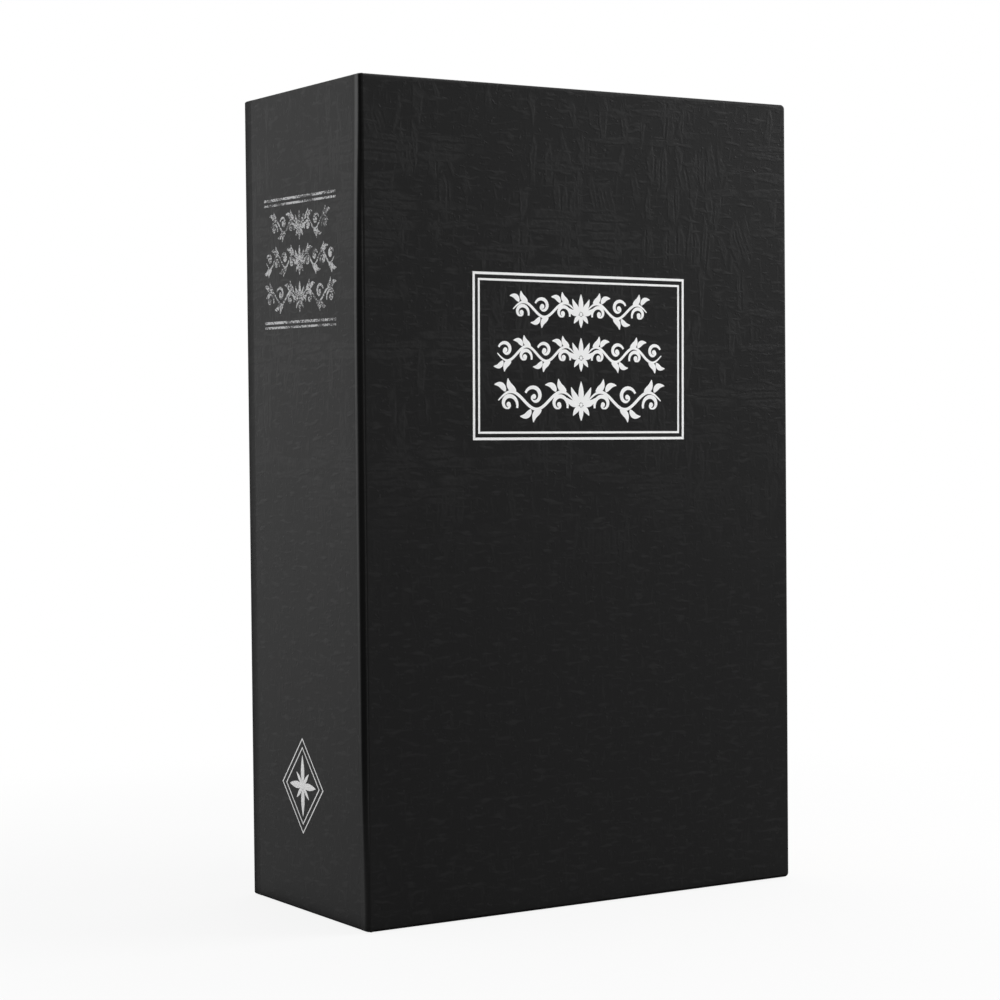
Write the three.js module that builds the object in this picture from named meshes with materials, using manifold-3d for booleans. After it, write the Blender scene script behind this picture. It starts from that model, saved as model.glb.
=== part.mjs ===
// Book diversion safe: a folded steel tray with a hinged door and a wafer cam lock,
// bound into the case of a hardback book whose page edges are ribbed strips.
// Millimetres. The book stands upright: X runs from the spine to the fore-edge,
// Y from the front cover to the back cover, Z from tail to head.
// The origin is the middle of the foot. Every shape is drawn in this one frame.

import * as THREE from 'three';
import { mergeVertices } from 'three/addons/utils/BufferGeometryUtils.js';
import { RoundedBoxGeometry } from 'three/addons/geometries/RoundedBoxGeometry.js';
import Module from 'manifold-3d';

const wasm = await Module();
wasm.setup();

// Driving dimensions of the book
const bookWidth = 114;
const bookThickness = 54.5;
const bookHeight = 182;

// Driving dimensions of the bound case
const wrapPaper = 0.3;
const greyBoard = 2;
const liningPaper = 0.25;
const hairline = 0.05; // left between faces that are glued, welded or clamped
const turnIn = 15;
const square = 3; // how far the covers stand past the page edges
const edgeRound = 0.8;
const coverSetback = 0.9; // the covers' hinge edges, behind the spine's face
const openCoverGap = 0.8; // spine to the cover folded flat back
const foldDepth = 0.2; // fold line behind the cover's inner face
const foldGap = 0.3; // fold line to the spine's edge

// Driving dimensions of the page edges
const pageStrip = 3;
const pageRibPitch = 1.25;
const pageRibDepth = 0.35;
const pageRibFlat = 0.4; // share of a rib's pitch that is its crest
const mitreGap = 0.3;
const coverGap = 0.3; // page edges to the closed front cover
const blockFit = 0.3; // page strips to the tray

// Driving dimensions of the steel tray
const sheetSteel = 0.8;
const bendRadius = 1.2;
const trayCorner = 2.5;
const foamTape = 0.4;
const doorRecess = 3.25; // page edges' front to the tray's front
const hingeFlange = 8;
const rimFlange = 7;
const mouthCorner = 3;

// Driving dimensions of the door
const doorGap = 0.6;
const doorReturn = 6;

// Driving dimensions of the piano hinge
const hingeLength = 148;
const knuckleRadius = 1.4;
const knuckleCount = 9;
const knuckleGap = 0.4;
const leafSheet = 0.7;
const leafWidth = 7;
const pinRadius = 0.75;
const pinFit = 0.15;
const weldCount = 6;
const weldRadius = 1.1;
const weldDepth = 0.25;

// Driving dimensions of the cam lock
const lockBackset = 16.5; // door's free edge to the lock's axis
const lockFit = 0.2;
const headRadius = 9;
const headThickness = 2;
const headChamfer = 0.6;
const barrelRadius = 7;
const barrelFlat = 6.2; // axis to each of the barrel's two flats
const barrelLength = 8.6;
const washerSheet = 0.6;
const washerRadius = 9.4;
const washerTeeth = 12;
const washerToothDepth = 0.9;
const nutAcross = 17;
const nutThickness = 3.5;
const nutChamfer = 0.7;
const plugRadius = 5;
const plugRecess = 0.4;
const keywayWidth = 1.8;
const keywayHeight = 7;
const waferSheet = 0.8;
const waferWidth = 6;
const waferPitch = 1.7;
const waferFit = 0.15;
const firstWafer = 2.8; // plug's face to the first wafer
const waferWindowWidth = 2.6;
const waferWindowHeight = 4.6;
const waferCuts = [0.4, -0.3, 0.6, -0.1]; // each wafer's window, off its middle
const grooveDepth = 0.9; // housing grooves that the wafers spring into
const stopDiscGap = 0.3;
const stopDiscSheet = 1;
const stopLugAngle = 30;
const stopTravel = 90;
const stopPlay = 2;
const tailSquare = 6;
const tailFit = 0.2;
const camSheet = 2;
const camWidth = 14;
const camTipGap = 1.1; // cam's tip to the tray's wall
const screwShankRadius = 1.5;
const screwLength = 3.5;
const screwHeadRadius = 4;
const screwHeadHeight = 1.6;
const screwSlotWidth = 1;
const screwSlotDepth = 0.8;

// Driving dimensions of the keeper
const keeperSheet = 1.5;
const keeperWidth = 20;
const keeperBend = 1.9;
const keeperGap = 0.5; // keeper's lip to the cam
const keeperDoorGap = 1.1; // keeper's lip to the door's edge
const keeperStandoff = 0.5; // keeper to the back of the tray's rim

// Fineness of round surfaces
const fineTurn = 32;
const coarseTurn = 16;
const cornerSteps = 3;
const overrun = 2; // how far a cutting solid runs past what it cuts

// Planes of the case
const spineFace = -bookWidth / 2;
const foreEdge = bookWidth / 2;
const frontFace = -bookThickness / 2;
const backFace = bookThickness / 2;
const boardDepth = wrapPaper + hairline;
const turnInDepth = boardDepth + greyBoard + hairline;
const liningDepth = turnInDepth + wrapPaper + hairline;
const caseStack = liningDepth + liningPaper;
const coverEdge = spineFace + coverSetback;
const coverHinge = new THREE.Vector3(
  spineFace + (coverSetback - openCoverGap) / 2,
  frontFace + caseStack + foldDepth,
  0,
);
const spineHalf = -(coverHinge.y + foldGap);
const jointRound = Math.min(edgeRound, coverSetback - hairline);

// Planes of the page edges and the tray
const pagesFront = frontFace + caseStack + coverGap;
const pagesBack = backFace - caseStack - hairline;
const pagesTail = square;
const pagesHead = bookHeight - square;
const pagesFore = foreEdge - square;
const tapeStack = foamTape + 2 * hairline;
const trayLeft = spineFace + caseStack + tapeStack;
const trayRight = pagesFore - pageStrip - blockFit;
const trayTail = pagesTail + pageStrip + blockFit;
const trayHead = pagesHead - pageStrip - blockFit;
const trayFront = pagesFront + doorRecess;
const trayBack = backFace - caseStack - tapeStack;
const mouthLeft = trayLeft + hingeFlange;
const mouthRight = trayRight - rimFlange;
const mouthTail = trayTail + rimFlange;
const mouthHead = trayHead - rimFlange;
const middle = (trayTail + trayHead) / 2;

// Planes of the door and its hinge
const doorLeft = mouthLeft + doorGap;
const doorRight = mouthRight - doorGap;
const doorTail = mouthTail + doorGap;
const doorHead = mouthHead - doorGap;
const doorInside = trayFront + sheetSteel;
const leafBack = trayFront - hairline;
const doorHinge = new THREE.Vector3((mouthLeft + doorLeft) / 2, leafBack - knuckleRadius, 0);
const hingeTail = middle - hingeLength / 2;
const knucklePitch = hingeLength / knuckleCount;

// Planes of the lock, along its axis from the head's face to the back
const lockAxis = new THREE.Vector3(doorRight - lockBackset, 0, middle);
const headBack = trayFront - hairline;
const headFront = headBack - headThickness;
const barrelBack = trayFront + barrelLength;
const washerFront = doorInside + hairline;
const nutFront = washerFront + washerSheet + hairline;
const plugFront = headFront + plugRecess;
const discFront = barrelBack + stopDiscGap;
const plugShoulder = discFront - hairline;
const camFront = discFront + stopDiscSheet + hairline;
const camBack = camFront + camSheet;
const tailBack = camBack - tailFit;
const screwSeat = camBack + hairline;
const screwTip = screwSeat - screwLength;
const camReach = trayRight - sheetSteel - camTipGap - lockAxis.x;
const waferAt = waferCuts.map((_, k) => plugFront + firstWafer + k * waferPitch);
const lastWafer = waferAt[waferAt.length - 1] + waferSheet;

// Finishes
const blackPaper = new THREE.MeshStandardMaterial({ color: 0x262626, roughness: 0.62 });
const greyCard = new THREE.MeshStandardMaterial({ color: 0x8d877c, roughness: 0.95 });
const endPaper = new THREE.MeshStandardMaterial({ color: 0x1d1d1e, roughness: 0.8 });
const creamPaper = new THREE.MeshStandardMaterial({ color: 0xe4dac0, roughness: 0.85 });
const blackSteel = new THREE.MeshStandardMaterial({ color: 0x1b1b1c, roughness: 0.5, metalness: 0.3 });
const bareSteel = new THREE.MeshStandardMaterial({ color: 0x9b9ca0, roughness: 0.4, metalness: 1 });
const nickel = new THREE.MeshStandardMaterial({ color: 0xc9c9c6, roughness: 0.22, metalness: 1 });
const brass = new THREE.MeshStandardMaterial({ color: 0xb8954c, roughness: 0.35, metalness: 1 });
const whiteFoam = new THREE.MeshStandardMaterial({ color: 0xd8d8d4, roughness: 0.9 });

// A closed geometry as a solid that can be joined and cut
function solid(geometry) {
  const bare = geometry.clone();
  bare.deleteAttribute('normal');
  bare.deleteAttribute('uv');
  const merged = mergeVertices(bare);
  const vertProperties = Float32Array.from(merged.attributes.position.array);
  const triVerts = Uint32Array.from(merged.index.array);
  return new wasm.Manifold(new wasm.Mesh({ numProp: 3, vertProperties, triVerts }));
}

// A solid back as a geometry
function surface(body) {
  const { vertProperties, triVerts } = body.getMesh();
  const geometry = new THREE.BufferGeometry();
  geometry.setAttribute('position', new THREE.BufferAttribute(vertProperties, 3));
  geometry.setIndex(new THREE.BufferAttribute(triVerts, 1));
  geometry.computeVertexNormals();
  return geometry;
}

// A named sub-part from a geometry, or from a solid that was joined or cut
function piece(name, shape, material) {
  const geometry = shape.isBufferGeometry ? shape : surface(shape);
  const mesh = new THREE.Mesh(geometry, material);
  mesh.name = name;
  return mesh;
}

// A box between two values on each axis, given in either order
function block(xs, ys, zs) {
  const size = [xs, ys, zs].map(([a, b]) => Math.abs(b - a));
  const geometry = new THREE.BoxGeometry(...size);
  return geometry.translate(...[xs, ys, zs].map(([a, b]) => (a + b) / 2));
}

// The same box with all of its edges rounded
function softBlock(xs, ys, zs, radius) {
  const size = [xs, ys, zs].map(([a, b]) => Math.abs(b - a));
  const geometry = new RoundedBoxGeometry(...size, 2, radius);
  return geometry.translate(...[xs, ys, zs].map(([a, b]) => (a + b) / 2));
}

// An outline drawn in X and Z, pushed along Y, with its edges rounded by edge
function pushAlongY(outline, y0, y1, edge = 0) {
  const geometry = new THREE.ExtrudeGeometry(outline, {
    depth: y1 - y0 - 2 * edge,
    steps: 1,
    curveSegments: cornerSteps,
    bevelEnabled: edge > 0,
    bevelThickness: edge,
    bevelSize: edge,
    bevelOffset: -edge,
    bevelSegments: cornerSteps,
  });
  return geometry.rotateX(Math.PI / 2).translate(0, y1 - edge, 0);
}

// An outline drawn in X and Y, pushed up along Z
function pushAlongZ(outline, z0, z1) {
  const options = { depth: z1 - z0, steps: 1, curveSegments: cornerSteps, bevelEnabled: false };
  return new THREE.ExtrudeGeometry(outline, options).translate(0, 0, z0);
}

// A rectangle with rounded corners
function roundedOutline([x0, x1], [z0, z1], radius) {
  const outline = new THREE.Shape();
  outline.absarc(x1 - radius, z1 - radius, radius, 0, Math.PI / 2);
  outline.absarc(x0 + radius, z1 - radius, radius, Math.PI / 2, Math.PI);
  outline.absarc(x0 + radius, z0 + radius, radius, Math.PI, 1.5 * Math.PI);
  outline.absarc(x1 - radius, z0 + radius, radius, 1.5 * Math.PI, 2 * Math.PI);
  return outline;
}

// A slab with rounded corners seen from the front
function slab(xs, zs, corner, y0, y1, edge = 0) {
  return pushAlongY(roundedOutline(xs, zs, corner), y0, y1, edge);
}

// Points on an arc about a centre, in degrees, from one angle to another
function arcPoints(x, y, radius, from, to, steps) {
  return Array.from({ length: steps + 1 }, (_, k) => {
    const angle = THREE.MathUtils.degToRad(from + ((to - from) * k) / steps);
    return new THREE.Vector2(x + radius * Math.cos(angle), y + radius * Math.sin(angle));
  });
}

// A round bar along Y on the lock's axis
function lockDisc(radius, y0, y1, sides = fineTurn) {
  const geometry = new THREE.CylinderGeometry(radius, radius, y1 - y0, sides);
  return geometry.translate(lockAxis.x, (y0 + y1) / 2, lockAxis.z);
}

// A profile of radius and Y, turned about the lock's axis
function lockTurned(profile, sides = fineTurn) {
  const points = profile.map(([radius, y]) => new THREE.Vector2(radius, y));
  return new THREE.LatheGeometry(points, sides).translate(lockAxis.x, 0, lockAxis.z);
}

// A box measured from the lock's axis, half as wide as given on each side
function lockBlock(halfX, [y0, y1], halfZ) {
  const xs = [lockAxis.x - halfX, lockAxis.x + halfX];
  const zs = [lockAxis.z - halfZ, lockAxis.z + halfZ];
  return block(xs, [y0, y1], zs);
}

// An outline drawn about the lock's axis, pushed along Y
function lockPlate(outline, y0, y1) {
  return pushAlongY(outline, y0, y1).translate(lockAxis.x, 0, lockAxis.z);
}

// Book cover, from its face inwards: black paper turned over the head, tail and fore-edge,
// a grey board inside it, and a lining over the turned-in paper.
function coverPieces(name, face, inward) {
  const at = (depth) => face + inward * depth;
  const paperBack = turnInDepth + wrapPaper;
  const past = coverEdge - overrun;

  const paperOutside = softBlock([past, foreEdge], [at(0), at(paperBack)], [0, bookHeight], edgeRound);
  const boardSpace = softBlock(
    [past - wrapPaper, foreEdge - wrapPaper],
    [at(wrapPaper), at(turnInDepth)],
    [wrapPaper, bookHeight - wrapPaper],
    edgeRound - wrapPaper,
  );
  const window = block(
    [past - overrun, foreEdge - turnIn],
    [at(greyBoard), at(paperBack + overrun)],
    [turnIn, bookHeight - turnIn],
  );
  const beyondEdge = block([past - overrun, coverEdge], [at(-overrun), at(paperBack + overrun)], [
    -overrun,
    bookHeight + overrun,
  ]);
  const wrap = solid(paperOutside)
    .subtract(solid(boardSpace))
    .subtract(solid(window))
    .subtract(solid(beyondEdge));

  const board = softBlock(
    [coverEdge, foreEdge - boardDepth],
    [at(boardDepth), at(boardDepth + greyBoard)],
    [boardDepth, bookHeight - boardDepth],
    edgeRound - boardDepth,
  );

  const sheet = block(
    [coverEdge + square, pagesFore],
    [at(liningDepth), at(caseStack)],
    [square, bookHeight - square],
  );
  const pressedIn = block(
    [coverEdge + square, foreEdge - turnIn - hairline],
    [at(turnInDepth), at(caseStack)],
    [turnIn + hairline, bookHeight - turnIn - hairline],
  );
  return [
    piece(`${name}_wrap`, wrap, blackPaper),
    piece(`${name}_board`, board, greyCard),
    piece(`${name}_lining`, solid(sheet).add(solid(pressedIn)), endPaper),
  ];
}

// Spine: the same paper, board and lining, with the paper turned in at head and tail only
function spinePieces() {
  const at = (depth) => spineFace + depth;
  const paperBack = turnInDepth + wrapPaper;

  const paperOutside = slab([at(0), at(paperBack)], [0, bookHeight], edgeRound, -spineHalf, spineHalf);
  const boardSpace = slab(
    [at(wrapPaper), at(turnInDepth)],
    [wrapPaper, bookHeight - wrapPaper],
    edgeRound - wrapPaper,
    -spineHalf - overrun,
    spineHalf + overrun,
  );
  const window = block(
    [at(greyBoard), at(paperBack + overrun)],
    [-spineHalf - overrun, spineHalf + overrun],
    [turnIn, bookHeight - turnIn],
  );
  const wrap = solid(paperOutside).subtract(solid(boardSpace)).subtract(solid(window));

  const board = slab(
    [at(boardDepth), at(boardDepth + greyBoard)],
    [boardDepth, bookHeight - boardDepth],
    edgeRound - boardDepth,
    -spineHalf,
    spineHalf,
  );

  const liningHalf = spineHalf - hairline;
  const sheet = block([at(liningDepth), at(caseStack)], [-liningHalf, liningHalf], [
    square,
    bookHeight - square,
  ]);
  const pressedIn = block([at(turnInDepth), at(caseStack)], [-liningHalf, liningHalf], [
    turnIn + hairline,
    bookHeight - turnIn - hairline,
  ]);
  return [
    piece('spine_wrap', wrap, blackPaper),
    piece('spine_board', board, greyCard),
    piece('spine_lining', solid(sheet).add(solid(pressedIn)), endPaper),
  ];
}

// Joint: the strip of paper, with no board behind it, that bends from the spine to a cover.
// side is -1 at the front cover and 1 at the back cover.
function jointStrip(name, side) {
  const centreX = spineFace + jointRound;
  const centreY = side * (backFace - jointRound);
  const bend = (radius) => arcPoints(centreX, centreY, radius, 180, 180 - side * 90, 2 * cornerSteps);
  const coverEnd = coverEdge - hairline;
  const spineEnd = side * (spineHalf + hairline);
  const outline = new THREE.Shape([
    new THREE.Vector2(spineFace, spineEnd),
    ...bend(jointRound),
    new THREE.Vector2(coverEnd, side * backFace),
    new THREE.Vector2(coverEnd, side * (backFace - wrapPaper)),
    ...bend(jointRound - wrapPaper).reverse(),
    new THREE.Vector2(spineFace + wrapPaper, spineEnd),
  ]);
  return piece(name, pushAlongZ(outline, wrapPaper, bookHeight - wrapPaper), blackPaper);
}

// Page edge: a cream strip whose ribs stand for the edges of the leaves, mitred at the corners.
// The profile has the strip's width along its X and its thickness along its Y.
function pageProfile() {
  const width = pagesBack - pagesFront;
  const ribs = Math.floor(width / pageRibPitch);
  const pitch = width / ribs;
  const crest = pitch * pageRibFlat;
  const flank = (pitch - crest) / 2;
  const points = [new THREE.Vector2(0, 0), new THREE.Vector2(width, 0)];
  for (let k = ribs; k > 0; k -= 1) {
    const end = k * pitch;
    points.push(new THREE.Vector2(end, pageStrip - pageRibDepth));
    points.push(new THREE.Vector2(end - flank, pageStrip));
    points.push(new THREE.Vector2(end - flank - crest, pageStrip));
  }
  points.push(new THREE.Vector2(0, pageStrip - pageRibDepth));
  return new THREE.Shape(points);
}

// The strip runs from start to end on its inner face, and each mitred end slopes out from there.
// across, outwards and along are the directions of its width, thickness and length.
function pageEdge(name, start, end, mitreStart, corner, across, outwards, along) {
  const options = { depth: end - start, steps: 1, bevelEnabled: false };
  const geometry = new THREE.ExtrudeGeometry(pageProfile(), options);
  const setback = mitreGap / Math.SQRT2;
  const spots = geometry.attributes.position;
  for (let i = 0; i < spots.count; i += 1) {
    const atEnd = spots.getZ(i) > (end - start) / 2;
    const slope = spots.getY(i) - setback;
    if (atEnd) {
      spots.setZ(i, end + slope);
    } else {
      spots.setZ(i, mitreStart ? start - slope : start);
    }
  }
  const turned = new THREE.Matrix4().makeBasis(across, outwards, along).setPosition(corner);
  return piece(name, geometry.applyMatrix4(turned), creamPaper);
}

function pageEdges() {
  const toBack = new THREE.Vector3(0, 1, 0);
  const toFront = new THREE.Vector3(0, -1, 0);
  const right = new THREE.Vector3(1, 0, 0);
  const up = new THREE.Vector3(0, 0, 1);
  const down = new THREE.Vector3(0, 0, -1);
  const innerTail = pagesTail + pageStrip;
  const innerHead = pagesHead - pageStrip;
  const innerFore = pagesFore - pageStrip;
  const spineEnd = spineFace + caseStack + blockFit;
  const headCorner = new THREE.Vector3(0, pagesFront, innerHead);
  const tailCorner = new THREE.Vector3(0, pagesBack, innerTail);
  const foreCorner = new THREE.Vector3(innerFore, pagesBack, 0);
  return [
    pageEdge('page_edge_head', spineEnd, innerFore, false, headCorner, toBack, up, right),
    pageEdge('page_edge_tail', spineEnd, innerFore, false, tailCorner, toFront, down, right),
    pageEdge('page_edge_fore', innerTail, innerHead, true, foreCorner, toFront, right, up),
  ];
}

// Tray: one folded sheet with an inward rim round its mouth, open to the front
function trayPiece() {
  const outside = slab([trayLeft, trayRight], [trayTail, trayHead], trayCorner, trayFront, trayBack, bendRadius);
  const inside = slab(
    [trayLeft + sheetSteel, trayRight - sheetSteel],
    [trayTail + sheetSteel, trayHead - sheetSteel],
    trayCorner - sheetSteel,
    trayFront + sheetSteel,
    trayBack - sheetSteel,
    bendRadius - sheetSteel,
  );
  const mouth = slab(
    [mouthLeft, mouthRight],
    [mouthTail, mouthHead],
    mouthCorner,
    trayFront - overrun,
    trayFront + sheetSteel + overrun,
  );
  return piece('tray', solid(outside).subtract(solid(inside)).subtract(solid(mouth)), blackSteel);
}

// Foam tape: holds the tray to the back cover and to the spine
function tapePieces() {
  const backPad = block(
    [mouthLeft, mouthRight],
    [trayBack + hairline, trayBack + hairline + foamTape],
    [mouthTail, mouthHead],
  );
  const spinePad = block(
    [trayLeft - hairline - foamTape, trayLeft - hairline],
    [trayFront + hingeFlange, trayBack - hingeFlange],
    [mouthTail, mouthHead],
  );
  return [piece('adhesive_back', backPad, whiteFoam), piece('adhesive_spine', spinePad, whiteFoam)];
}

// Door: a pressed pan that drops into the tray's mouth, with a return all round and
// a hole with two flats that keeps the lock from turning
function doorPiece() {
  const returnBack = trayFront + doorReturn;
  const outside = slab(
    [doorLeft, doorRight],
    [doorTail, doorHead],
    mouthCorner - doorGap,
    trayFront,
    returnBack + 2 * overrun,
    bendRadius,
  );
  const inside = slab(
    [doorLeft + sheetSteel, doorRight - sheetSteel],
    [doorTail + sheetSteel, doorHead - sheetSteel],
    mouthCorner - doorGap - sheetSteel,
    doorInside,
    returnBack + 3 * overrun,
    bendRadius - sheetSteel,
  );
  const behind = block(
    [doorLeft - overrun, doorRight + overrun],
    [returnBack, returnBack + 4 * overrun],
    [doorTail - overrun, doorHead + overrun],
  );
  const hole = solid(lockDisc(barrelRadius + lockFit, trayFront - overrun, doorInside + overrun)).intersect(
    solid(lockBlock(barrelFlat + lockFit, [trayFront - 2 * overrun, doorInside + 2 * overrun], headRadius)),
  );
  const pan = solid(outside).subtract(solid(inside)).subtract(solid(behind));
  return piece('door', pan.subtract(hole), blackSteel);
}

// Piano hinge: two leaves with alternate rolled knuckles on one pin. The leaves are welded to
// the tray's rim and to the door, and each weld leaves a small dimple.
// side is -1 for the leaf on the rim and 1 for the leaf on the door.
function hingeLeaf(name, side) {
  const { x, y } = doorHinge;
  const leafFront = leafBack - leafSheet;
  const notch = knuckleRadius + knuckleGap;
  const isOwn = (k) => (k % 2 === 0) === (side < 0);
  let leaf = solid(
    block([x, x + side * leafWidth], [leafFront, leafBack], [hingeTail, hingeTail + hingeLength]),
  );
  for (let k = 0; k < knuckleCount; k += 1) {
    const low = hingeTail + k * knucklePitch;
    const high = low + knucklePitch;
    if (!isOwn(k)) {
      const room = block([x - side * notch, x + side * notch], [leafFront - overrun, leafBack + overrun], [
        low - knuckleGap / 2,
        high + knuckleGap / 2,
      ]);
      leaf = leaf.subtract(solid(room));
    }
  }
  for (let k = 0; k < knuckleCount; k += 1) {
    if (isOwn(k)) {
      const low = hingeTail + k * knucklePitch + knuckleGap / 2;
      const length = knucklePitch - knuckleGap;
      const roll = new THREE.CylinderGeometry(knuckleRadius, knuckleRadius, length, coarseTurn);
      leaf = leaf.add(solid(roll.rotateX(Math.PI / 2).translate(x, y, low + length / 2)));
    }
  }
  const bore = new THREE.CylinderGeometry(
    pinRadius + pinFit,
    pinRadius + pinFit,
    hingeLength + 2 * overrun,
    coarseTurn,
  );
  leaf = leaf.subtract(solid(bore.rotateX(Math.PI / 2).translate(x, y, middle)));
  for (let k = 0; k < weldCount; k += 1) {
    const z = hingeTail + ((k + 0.5) * hingeLength) / weldCount;
    const dimple = new THREE.CylinderGeometry(weldRadius / 2, 2 * weldRadius, 3 * weldDepth, coarseTurn);
    dimple.translate(x + side * (leafWidth + notch) / 2, leafFront - weldDepth / 2, z);
    leaf = leaf.subtract(solid(dimple));
  }
  return piece(name, leaf, blackSteel);
}

function hingePin() {
  const pin = new THREE.CylinderGeometry(pinRadius, pinRadius, hingeLength, coarseTurn);
  return piece('hinge_pin', pin.rotateX(Math.PI / 2).translate(doorHinge.x, doorHinge.y, middle), bareSteel);
}

// Keeper: a bent strip welded to the tray's fore-edge wall. The locked cam lies behind its lip.
function keeperPiece() {
  const wall = trayRight - sheetSteel - hairline;
  const lipBack = camFront - keeperGap;
  const lipTip = doorRight + keeperDoorGap;
  const start = trayFront + sheetSteel + keeperStandoff;
  const centreX = wall - keeperBend;
  const centreY = lipBack - keeperBend;
  const outline = new THREE.Shape([
    new THREE.Vector2(wall, start),
    ...arcPoints(centreX, centreY, keeperBend, 0, 90, cornerSteps),
    new THREE.Vector2(lipTip, lipBack),
    new THREE.Vector2(lipTip, lipBack - keeperSheet),
    ...arcPoints(centreX, centreY, keeperBend - keeperSheet, 90, 0, cornerSteps),
    new THREE.Vector2(wall - keeperSheet, start),
  ]);
  const shape = pushAlongZ(outline, lockAxis.z - keeperWidth / 2, lockAxis.z + keeperWidth / 2);
  return piece('keeper', shape, bareSteel);
}

// Lock housing: a turned head and a barrel with two flats. Grooves inside take the sprung wafers,
// and a lug on the back stops the disc that turns with the plug.
function lockHousing() {
  const bore = plugRadius + lockFit;
  const turned = lockTurned([
    [bore, headFront + headChamfer / 2],
    [bore + headChamfer / 2, headFront],
    [headRadius - headChamfer, headFront],
    [headRadius, headFront + headChamfer],
    [headRadius, headBack],
    [barrelRadius, headBack],
    [barrelRadius, barrelBack],
    [bore, barrelBack],
    [bore, headFront + headChamfer / 2],
  ]);
  const flatSpan = [headBack, barrelBack + overrun];
  const keep = solid(lockBlock(barrelFlat, flatSpan, headRadius));
  const round = solid(lockBlock(headRadius + overrun, flatSpan, headRadius));
  const grooves = lockBlock(
    waferWidth / 2 + lockFit,
    [waferAt[0] - waferFit, lastWafer + waferFit],
    bore + grooveDepth,
  );
  const lug = new THREE.Shape([
    ...arcPoints(0, 0, barrelRadius - lockFit, 90 - stopLugAngle / 2, 90 + stopLugAngle / 2, cornerSteps),
    ...arcPoints(0, 0, bore + lockFit, 90 + stopLugAngle / 2, 90 - stopLugAngle / 2, cornerSteps),
  ]);
  const housing = solid(turned)
    .subtract(round.subtract(keep))
    .subtract(solid(grooves))
    .add(solid(lockPlate(lug, barrelBack - stopDiscSheet, discFront + stopDiscSheet - lockFit)));
  return piece('lock_housing', housing, nickel);
}

// Shakeproof washer: its inner teeth bite on the barrel's thread, under the nut
function lockWasher() {
  const outline = new THREE.Shape(arcPoints(0, 0, washerRadius, 0, 360, fineTurn).slice(0, -1));
  const tip = barrelRadius + lockFit;
  const toothAngle = 360 / washerTeeth;
  const teeth = [];
  for (let k = 0; k < washerTeeth; k += 1) {
    const from = k * toothAngle;
    teeth.push(...arcPoints(0, 0, tip, from, from + toothAngle / 2, 1));
    teeth.push(...arcPoints(0, 0, tip + washerToothDepth, from + toothAngle * 0.6, from + toothAngle * 0.9, 1));
  }
  outline.holes.push(new THREE.Path(teeth));
  return piece('lock_washer', lockPlate(outline, washerFront, washerFront + washerSheet), bareSteel);
}

// Nut: a thin hexagon with its corners chamfered on the back, drawn up against the washer
function lockNut() {
  const back = nutFront + nutThickness;
  const corners = nutAcross / Math.sqrt(3);
  const hexagon = solid(lockDisc(corners, nutFront, back, 6));
  const cone = lockTurned([
    [0, nutFront - overrun],
    [corners + overrun, nutFront - overrun],
    [corners + overrun, back - nutChamfer - overrun],
    [nutAcross / 2, back],
    [0, back],
  ]);
  const hole = lockDisc(barrelRadius + lockFit, nutFront - overrun, back + overrun);
  return piece('lock_nut', hexagon.intersect(solid(cone)).subtract(solid(hole)), nickel);
}

// Plug: the core that the key turns, slotted for the key and for each wafer, with a square
// tail that carries the stop disc and the cam
function lockPlug() {
  const tail = lockBlock(tailSquare / 2, [plugShoulder - stopDiscSheet, tailBack], tailSquare / 2);
  const keyway = lockBlock(
    keywayWidth / 2,
    [plugFront - overrun, lastWafer + waferSheet],
    keywayHeight / 2,
  );
  const tapped = lockDisc(screwShankRadius + lockFit, screwTip - lockFit, tailBack + overrun, coarseTurn);
  let plug = solid(lockDisc(plugRadius, plugFront, plugShoulder)).add(solid(tail));
  plug = plug.subtract(solid(keyway)).subtract(solid(tapped));
  waferAt.forEach((y) => {
    const span = [y - waferFit, y + waferSheet + waferFit];
    plug = plug.subtract(solid(lockBlock(waferWidth / 2 + waferFit, span, plugRadius + overrun)));
  });
  return piece('lock_plug', plug, nickel);
}

// Wafers: flat brass plates across the plug, each with its window at its own height. They are
// drawn level with the plug, as a key in the lock holds them.
function waferPieces() {
  const radius = plugRadius - waferFit;
  const reach = THREE.MathUtils.radToDeg(Math.acos(waferWidth / 2 / radius));
  return waferAt.map((y, k) => {
    const outline = new THREE.Shape([
      ...arcPoints(0, 0, radius, reach, 180 - reach, 2 * cornerSteps),
      ...arcPoints(0, 0, radius, 180 + reach, 360 - reach, 2 * cornerSteps),
    ]);
    const half = waferWindowWidth / 2;
    const low = waferCuts[k] - waferWindowHeight / 2;
    const high = waferCuts[k] + waferWindowHeight / 2;
    const window = [[-half, low], [-half, high], [half, high], [half, low]];
    outline.holes.push(new THREE.Path(window.map(([x, z]) => new THREE.Vector2(x, z))));
    return piece(`wafer_${k + 1}`, lockPlate(outline, y, y + waferSheet), brass);
  });
}

// Square hole that fits the plug's tail
function tailHole() {
  const half = tailSquare / 2 + tailFit;
  const corners = [[-half, -half], [-half, half], [half, half], [half, -half]];
  return new THREE.Path(corners.map(([x, z]) => new THREE.Vector2(x, z)));
}

// Stop disc: turns with the plug and lets it turn a quarter, from one end of its gap to the other
function stopDisc() {
  const gapStart = 90 - stopLugAngle / 2 - stopTravel - stopPlay;
  const gapEnd = 90 + stopLugAngle / 2 + stopPlay;
  const outline = new THREE.Shape([
    ...arcPoints(0, 0, barrelRadius, gapEnd, gapStart + 360, fineTurn - coarseTurn / 2),
    ...arcPoints(0, 0, plugRadius, gapStart + 360, gapEnd + 360, coarseTurn / 2),
  ]);
  outline.holes.push(tailHole());
  return piece('stop_disc', lockPlate(outline, discFront, discFront + stopDiscSheet), bareSteel);
}

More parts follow.
